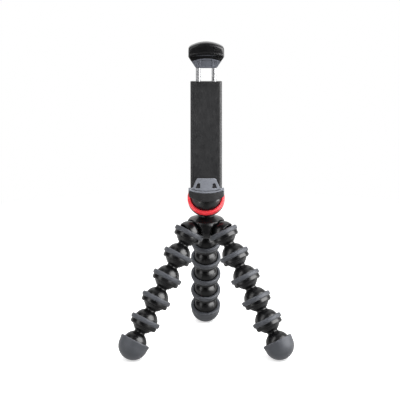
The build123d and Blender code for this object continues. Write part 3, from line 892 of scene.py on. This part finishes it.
def floor_material():
    recipe = SurfaceRecipe("studio_floor")
    recipe.give(Base_Color=FLOOR_COLOUR, Roughness=FLOOR_ROUGHNESS, Specular_IOR_Level=0.0)
    paths = recipe.add("ShaderNodeLightPath").outputs
    seen = recipe.maths("MAXIMUM", paths["Is Camera Ray"], paths["Is Transmission Ray"])

    def shining(strength):
        return recipe.add("ShaderNodeEmission", Color=WHITE, Strength=strength).outputs["Emission"]

    lit = recipe.add("ShaderNodeAddShader")
    recipe.join(lit.inputs[0], recipe.shader.outputs["BSDF"])
    recipe.join(lit.inputs[1], shining(FLOOR_FILL))
    far = recipe.span(distance_from(recipe, (0, 0, 0)), 0, 1, FLOOR_NEAR, FLOOR_FAR)
    shown = recipe.mixed_light(far, lit.outputs["Shader"], shining(1.0))
    plain = recipe.mixed_light(seen, recipe.shader.outputs["BSDF"], shown)
    # Glossy rays see the table's painted glow, with its painted shade and painted lamp reflections, instead of its
    # light.
    whole = recipe.mixed_light(paths["Is Glossy Ray"], plain, shining(painted_table_glow(recipe)))
    recipe.join(recipe.tree.nodes["Material Output"].inputs["Surface"], whole)
    return recipe.done()


# %% Floor
FLOOR_SIZE = 30

half = FLOOR_SIZE / 2
floor_corners = [(-half, -half, 0), (half, -half, 0), (half, half, 0), (-half, half, 0)]
floor_mesh = bpy.data.meshes.new("floor")
floor_mesh.from_pydata(floor_corners, [], [(0, 1, 2, 3)])
floor_mesh.materials.append(floor_material())
floor = bpy.data.objects.new("floor", floor_mesh)
bpy.context.scene.collection.objects.link(floor)
print("floor", FLOOR_SIZE, "m wide, with", len(PAINTED_LAMP_SPOTS), "mirrored spots")

# %% [markdown]
# ## World
#
# A studio's walls do three jobs here. To the camera they are plain white. To matte
# surfaces they give a weak even light that fills the shadows. To glossy surfaces
# they are bright behind the tripod and dark in front, which draws the pale rims on
# the black balls. A picture of a real studio could stand in for all three, but one
# ramp from front to back is easier to steer.

# %% World
AMBIENT = 0.22
STUDIO_FRONT = 0.03
STUDIO_BACK = 1.0
BACK_WALL_BEGINS = 0.3
BACK_WALL_FULL = 1.0

world = bpy.data.worlds.new("studio")
bpy.context.scene.world = world
studio = Recipe(world)
studio.tree.nodes.clear()


def walls(strength):
    """White walls all round, whose strength is a number or a pattern."""
    return studio.add("ShaderNodeBackground", Color=WHITE, Strength=strength).outputs["Background"]


paths = studio.add("ShaderNodeLightPath").outputs
direction = studio.add("ShaderNodeTexCoord").outputs["Generated"]
depth = studio.add("ShaderNodeSeparateXYZ", Vector=direction).outputs["Y"]
back_wall = studio.span(depth, STUDIO_FRONT, STUDIO_BACK, BACK_WALL_BEGINS, BACK_WALL_FULL)
seen = studio.maths("MAXIMUM", paths["Is Camera Ray"], paths["Is Transmission Ray"])
lighting = studio.mixed_light(paths["Is Glossy Ray"], walls(AMBIENT), walls(back_wall))
studio.add("ShaderNodeOutputWorld", Surface=studio.mixed_light(seen, lighting, walls(1.0)))
print("world has", len(studio.tree.nodes), "nodes")

# %% [markdown]
# ## Softboxes
#
# The highlights on the balls are pictures of the lamps, so the lamps are large
# soft rectangles, as in a product studio. One set could do both jobs, but then a
# brighter highlight would also light up the rubber. Three lamps are seen only in
# reflections and three give only diffuse light, so each is set on its own.

# %% Softboxes
tripod_middle = (cad_box[0] + cad_box[1]) / 2


def softbox(name, towards, distance, size, power, mirrored):
    """Rectangular lamp that faces the tripod, either mirrored in it or lighting it."""
    data = bpy.data.lights.new(name, "AREA")
    data.shape = "RECTANGLE"
    data.size, data.size_y = size
    data.energy = power
    lamp = bpy.data.objects.new(name, data)
    bpy.context.scene.collection.objects.link(lamp)
    lamp.location = tripod_middle + Vector(towards).normalized() * distance
    lamp.rotation_euler = (tripod_middle - lamp.location).to_track_quat("-Z", "Y").to_euler()
    lamp.visible_camera = False
    lamp.visible_glossy = mirrored
    lamp.visible_diffuse = not mirrored
    print(name, power, "W")


softbox("right_shine", (0.83, -0.34, 0.44), 0.75, size=(0.9, 0.7), power=16, mirrored=True)
softbox("left_shine", (-0.7, -0.5, 0.48), 0.75, size=(0.28, 0.8), power=2.2, mirrored=True)
softbox("back_shine", (0.0, 0.45, 0.89), 0.8, size=(0.9, 0.9), power=2.2, mirrored=True)
softbox("right_light", (0.7, -0.35, 0.85), 0.8, size=(0.5, 0.5), power=7, mirrored=False)
softbox("left_light", (-0.6, -0.5, 0.7), 0.8, size=(0.6, 0.5), power=3, mirrored=False)
softbox("overhead", (0.0, -0.1, 1.0), 0.9, size=(0.9, 0.7), power=7, mirrored=False)

# %% [markdown]
# ## End
#
# The standard view keeps each colour as it was written, where the default one
# would grey the white background.

# %% End
bpy.context.scene.view_settings.view_transform = "Standard"
